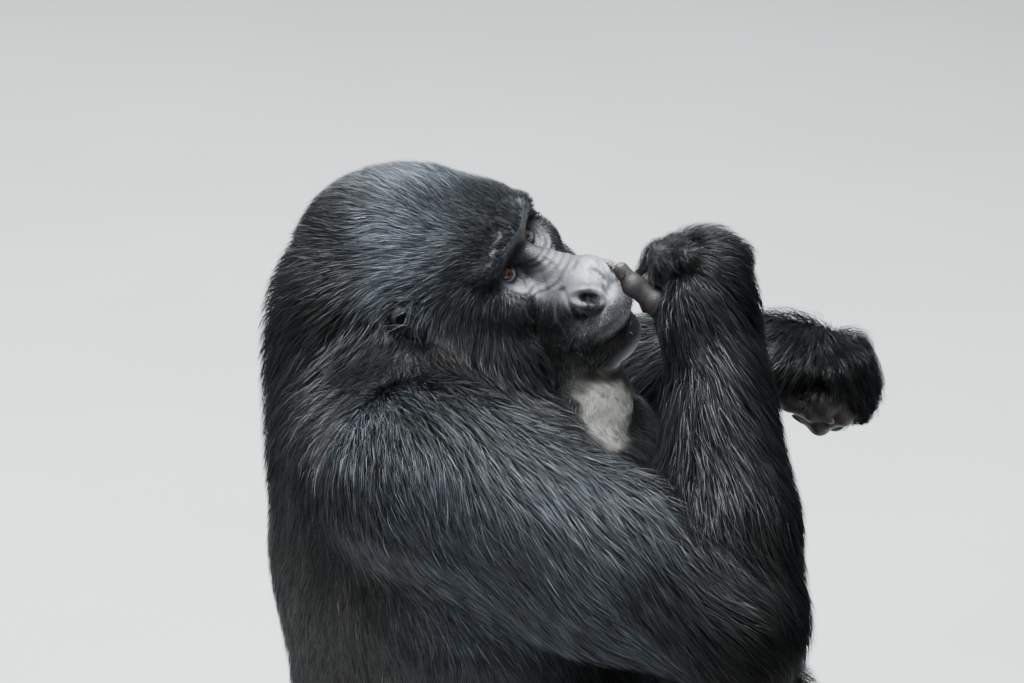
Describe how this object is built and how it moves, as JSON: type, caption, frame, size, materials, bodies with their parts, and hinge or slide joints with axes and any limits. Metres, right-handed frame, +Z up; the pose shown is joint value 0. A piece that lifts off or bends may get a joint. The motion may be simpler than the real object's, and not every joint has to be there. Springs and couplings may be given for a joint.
{
  "type": "gorilla model",
  "caption": "Life-size still model of an adult male gorilla, seated, head turned and tilted, one hand raised to its mouth.",
  "frame": {"origin": "on the floor, under the middle of the rump", "axes": "+X the way the animal's chest faces, +Y its left, +Z up"},
  "size_m": [0.9765, 1.0489, 1.0187],
  "materials": {
    "coat": "long, near-black fur with a blue-grey sheen",
    "silver": "short grey fur over the lower back",
    "hide": "bare, wrinkled dark skin",
    "iris": "glossy brown glass eye"
  },
  "bodies": {
    "root": {"head": "coat", "neck": "coat", "chest": "coat", "abdomen": "silver", "upper_arm_r": "coat", "upper_arm_l": "coat", "forearm_r": "coat", "forearm_l": "coat", "hand_r": "hide", "hand_l": "hide", "thigh_r": "coat", "thigh_l": "coat", "shank_r": "coat", "shank_l": "coat", "foot_r": "hide", "foot_l": "hide", "ear_r": "hide", "ear_l": "hide", "eye_r": "iris", "eye_l": "iris"}
  },
  "joints": []
}
